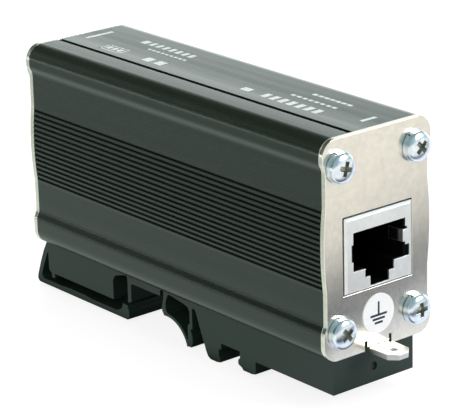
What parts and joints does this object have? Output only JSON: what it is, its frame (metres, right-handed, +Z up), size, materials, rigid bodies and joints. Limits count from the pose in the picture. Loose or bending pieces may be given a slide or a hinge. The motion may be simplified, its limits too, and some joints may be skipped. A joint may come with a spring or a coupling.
{
  "type": "ethernet surge protector",
  "caption": "Slim surge protector for a network cable: dark grooved metal tube with metal end plates, a network socket at each end, an earth tab and a plastic clip foot for a rail.",
  "frame": {"origin": "middle of the whole length, on the lowest point of the foot and the middle of the width", "axes": "+X along the tube towards the end with the earth tab, +Y across, +Z up"},
  "size_m": [0.0988, 0.0256, 0.0518],
  "materials": {
    "anodised_tube": "fine satin black anodising",
    "end_plate": "satin, warm nickel tone",
    "foot_plastic": "matte moulded black",
    "circuit_board": "green solder mask",
    "label": "white printed film",
    "strap_brass": "plain",
    "jack_shield": "bright nickel plated",
    "jack_insulator": "black moulded",
    "contact_metal": "gold plated",
    "screw_steel": "bright zinc",
    "washer_steel": "zinc",
    "arrester_ceramic": "white",
    "electrode_metal": "tinned",
    "chip_plastic": "moulded black",
    "resistor_body": "black coated"
  },
  "bodies": {
    "root": {"housing": "anodised_tube", "front_plate": "end_plate", "rear_plate": "end_plate", "foot": "foot_plastic", "board": "circuit_board", "label_disc": "label", "ground_strap": "strap_brass", "shield_front": "jack_shield", "shield_rear": "jack_shield", "insulator_front": "jack_insulator", "insulator_rear": "jack_insulator", "contacts_front": "contact_metal", "contacts_rear": "contact_metal", "screw_front_1": "screw_steel", "screw_front_2": "screw_steel", "screw_front_3": "screw_steel", "screw_front_4": "screw_steel", "screw_rear_1": "screw_steel", "screw_rear_2": "screw_steel", "screw_rear_3": "screw_steel", "screw_rear_4": "screw_steel", "washer_front_1": "washer_steel", "washer_front_2": "washer_steel", "washer_front_3": "washer_steel", "washer_front_4": "washer_steel", "washer_rear_1": "washer_steel", "washer_rear_2": "washer_steel", "washer_rear_3": "washer_steel", "washer_rear_4": "washer_steel", "arrester_1": "arrester_ceramic", "arrester_2": "arrester_ceramic", "arrester_3": "arrester_ceramic", "arrester_4": "arrester_ceramic", "electrodes_1": "electrode_metal", "electrodes_2": "electrode_metal", "electrodes_3": "electrode_metal", "electrodes_4": "electrode_metal", "suppressor_1": "chip_plastic", "suppressor_2": "chip_plastic", "suppressor_3": "chip_plastic", "suppressor_4": "chip_plastic", "resistor_left_1": "resistor_body", "resistor_left_2": "resistor_body", "resistor_left_3": "resistor_body", "resistor_left_4": "resistor_body", "resistor_right_1": "resistor_body", "resistor_right_2": "resistor_body", "resistor_right_3": "resistor_body", "resistor_right_4": "resistor_body"}
  },
  "joints": []
}
